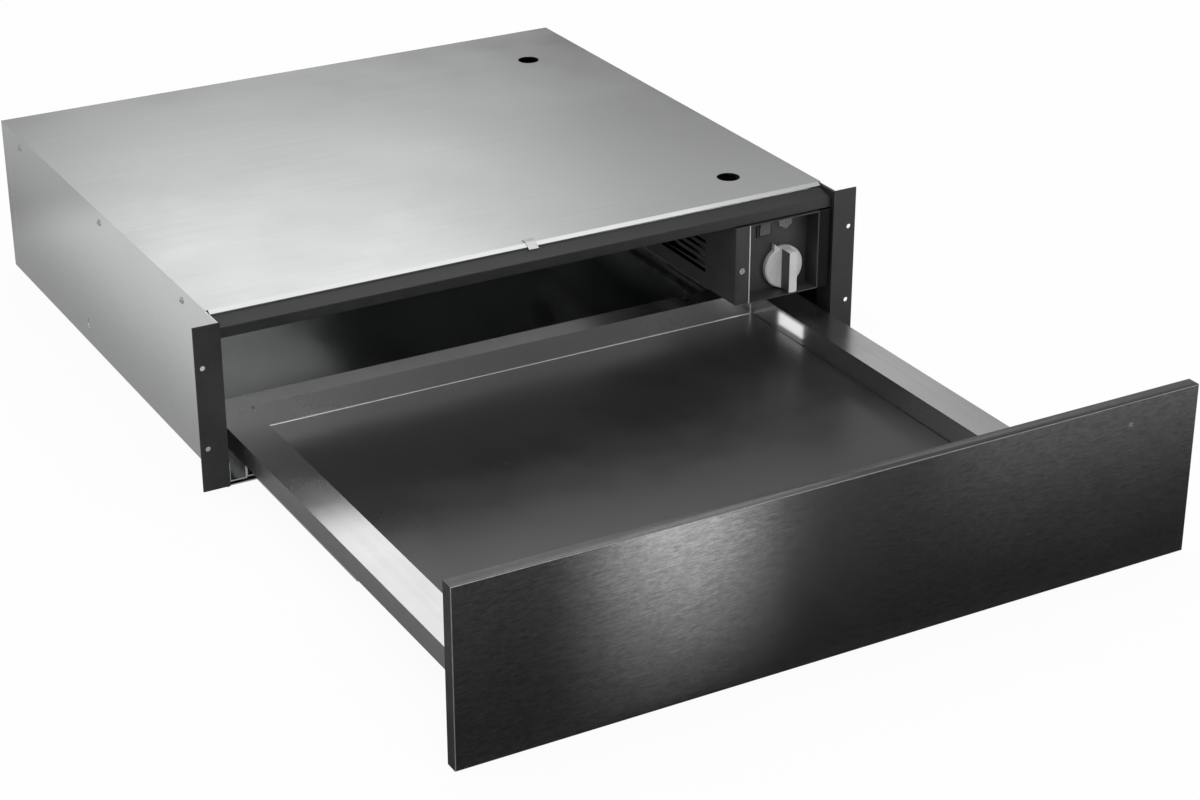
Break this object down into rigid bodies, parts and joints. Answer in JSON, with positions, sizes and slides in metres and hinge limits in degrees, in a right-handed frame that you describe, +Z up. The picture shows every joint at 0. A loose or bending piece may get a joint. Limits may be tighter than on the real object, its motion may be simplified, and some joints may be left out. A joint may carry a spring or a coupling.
{
  "type": "built-in warming drawer",
  "caption": "Built-in warming drawer: sheet metal carcass with mounting flanges, a pressed pan on telescopic ball slides behind a flat front, and a recessed thermostat knob.",
  "frame": {"origin": "centre of the four cabinet screw holes, on the front face of the mounting flanges", "axes": "+X to the right seen from the front, +Y to the back, along the drawer's slides, +Z up"},
  "size_m": [0.595, 0.9436, 0.143],
  "materials": {
    "galvanised": "brushed zinc-coated sheet",
    "frame_paint": "satin dark grey powder coat",
    "compartment_paint": "satin dark grey powder coat",
    "polished_pan": "polished stainless sheet",
    "slide_steel": "bright zinc",
    "cage_brass": "passivated strip",
    "ball_steel": "polished",
    "mat_rubber": "smooth semi-gloss",
    "dark_steel": "brushed dark coated stainless",
    "edge_black": "satin black",
    "clear_window": "clear light guide",
    "knob_silver": "silver coated plastic",
    "shaft_steel": "turned",
    "control_cream": "moulded",
    "switch_black": "moulded",
    "rocker_grey": "moulded",
    "motor_paint": "satin",
    "wheel_aluminium": "pressed",
    "element_steel": "heat-tinted",
    "gland_black": "moulded",
    "buffer_rubber": "moulded",
    "screw_zinc": "bright zinc"
  },
  "bodies": {
    "carcass": {"base_panel": "galvanised", "side_panel_left": "galvanised", "side_panel_right": "galvanised", "rear_panel": "galvanised", "top_cover": "galvanised", "top_rail": "frame_paint", "flange_left": "frame_paint", "flange_right": "frame_paint", "rail_clip": "screw_zinc", "compartment_wall": "compartment_paint", "compartment_floor": "galvanised", "control_recess": "compartment_paint", "thermostat_body": "control_cream", "switch_body": "switch_black", "lamp_body": "control_cream", "lamp_lens": "clear_window", "fan_housing": "galvanised", "fan_motor": "motor_paint", "heater_duct": "galvanised", "heater_element": "element_steel", "safety_cutout": "control_cream", "terminal_block": "control_cream", "cable_gland": "gland_black", "slide_bracket_left": "galvanised", "slide_bracket_right": "galvanised", "cabinet_slide_left": "slide_steel", "cabinet_slide_right": "slide_steel", "latch_body": "switch_black", "side_screws": "screw_zinc", "slide_rivets": "screw_zinc", "post_screw": "screw_zinc"},
    "drawer": {"drawer_pan": "polished_pan", "mat": "mat_rubber", "slide_carrier_left": "galvanised", "slide_carrier_right": "galvanised", "drawer_slide_left": "slide_steel", "drawer_slide_right": "slide_steel", "front_core": "edge_black", "front_skin": "dark_steel", "light_window": "clear_window", "panel_angles": "galvanised", "panel_screws": "screw_zinc", "buffers": "buffer_rubber", "carrier_rivets": "screw_zinc"},
    "thermostat_knob": {"knob": "knob_silver", "thermostat_shaft": "shaft_steel"},
    "switch_rocker": {"rocker": "rocker_grey"},
    "fan_rotor": {"fan_wheel": "wheel_aluminium", "fan_shaft": "shaft_steel"},
    "push_latch": {"latch_plunger": "gland_black"},
    "outer_cage_left": {"outer_cage_left": "cage_brass", "outer_balls_left": "ball_steel"},
    "middle_member_left": {"middle_slide_left": "slide_steel"},
    "inner_cage_left": {"inner_cage_left": "cage_brass", "inner_balls_left": "ball_steel"},
    "outer_cage_right": {"outer_cage_right": "cage_brass", "outer_balls_right": "ball_steel"},
    "middle_member_right": {"middle_slide_right": "slide_steel"},
    "inner_cage_right": {"inner_cage_right": "cage_brass", "inner_balls_right": "ball_steel"}
  },
  "joints": [
    {"name": "drawer_slide", "type": "slide", "parent": "carcass", "child": "drawer", "axis": [0, -1, 0], "range_m": [-0.4165, 0]},
    {"name": "outer_cage_left_slide", "type": "slide", "parent": "carcass", "child": "outer_cage_left", "axis": [0, -1, 0], "range_m": [-0.10412, 0]},
    {"name": "middle_member_left_slide", "type": "slide", "parent": "carcass", "child": "middle_member_left", "axis": [0, -1, 0], "range_m": [-0.20825, 0]},
    {"name": "inner_cage_left_slide", "type": "slide", "parent": "carcass", "child": "inner_cage_left", "axis": [0, -1, 0], "range_m": [-0.31238, 0]},
    {"name": "outer_cage_right_slide", "type": "slide", "parent": "carcass", "child": "outer_cage_right", "axis": [0, -1, 0], "range_m": [-0.10412, 0]},
    {"name": "middle_member_right_slide", "type": "slide", "parent": "carcass", "child": "middle_member_right", "axis": [0, -1, 0], "range_m": [-0.20825, 0]},
    {"name": "inner_cage_right_slide", "type": "slide", "parent": "carcass", "child": "inner_cage_right", "axis": [0, -1, 0], "range_m": [-0.31238, 0]},
    {"name": "knob_turn", "type": "hinge", "parent": "carcass", "child": "thermostat_knob", "pos_m": [0.236, 0.014, 0.00228], "axis": [0, 1, 0], "range_deg": [0, 150]},
    {"name": "rocker_press", "type": "hinge", "parent": "carcass", "child": "switch_rocker", "pos_m": [0.2184, 0.0245, 0.03999], "axis": [1, 0, 0], "range_deg": [-14, 0]},
    {"name": "fan_spin", "type": "hinge", "parent": "carcass", "child": "fan_rotor", "pos_m": [0.2, 0.34, 0.026], "axis": [1, 0, 0], "continuous": true},
    {"name": "latch_press", "type": "slide", "parent": "carcass", "child": "push_latch", "axis": [0, 1, 0], "range_m": [0, 0.003], "stiffness_N_per_m": 200, "springref_m": -0.004}
  ],
  "couplings": [
    {"joint": "outer_cage_left_slide", "follows": "drawer_slide", "ratio": 0.25},
    {"joint": "middle_member_left_slide", "follows": "drawer_slide", "ratio": 0.5},
    {"joint": "inner_cage_left_slide", "follows": "drawer_slide", "ratio": 0.75},
    {"joint": "outer_cage_right_slide", "follows": "drawer_slide", "ratio": 0.25},
    {"joint": "middle_member_right_slide", "follows": "drawer_slide", "ratio": 0.5},
    {"joint": "inner_cage_right_slide", "follows": "drawer_slide", "ratio": 0.75}
  ]
}
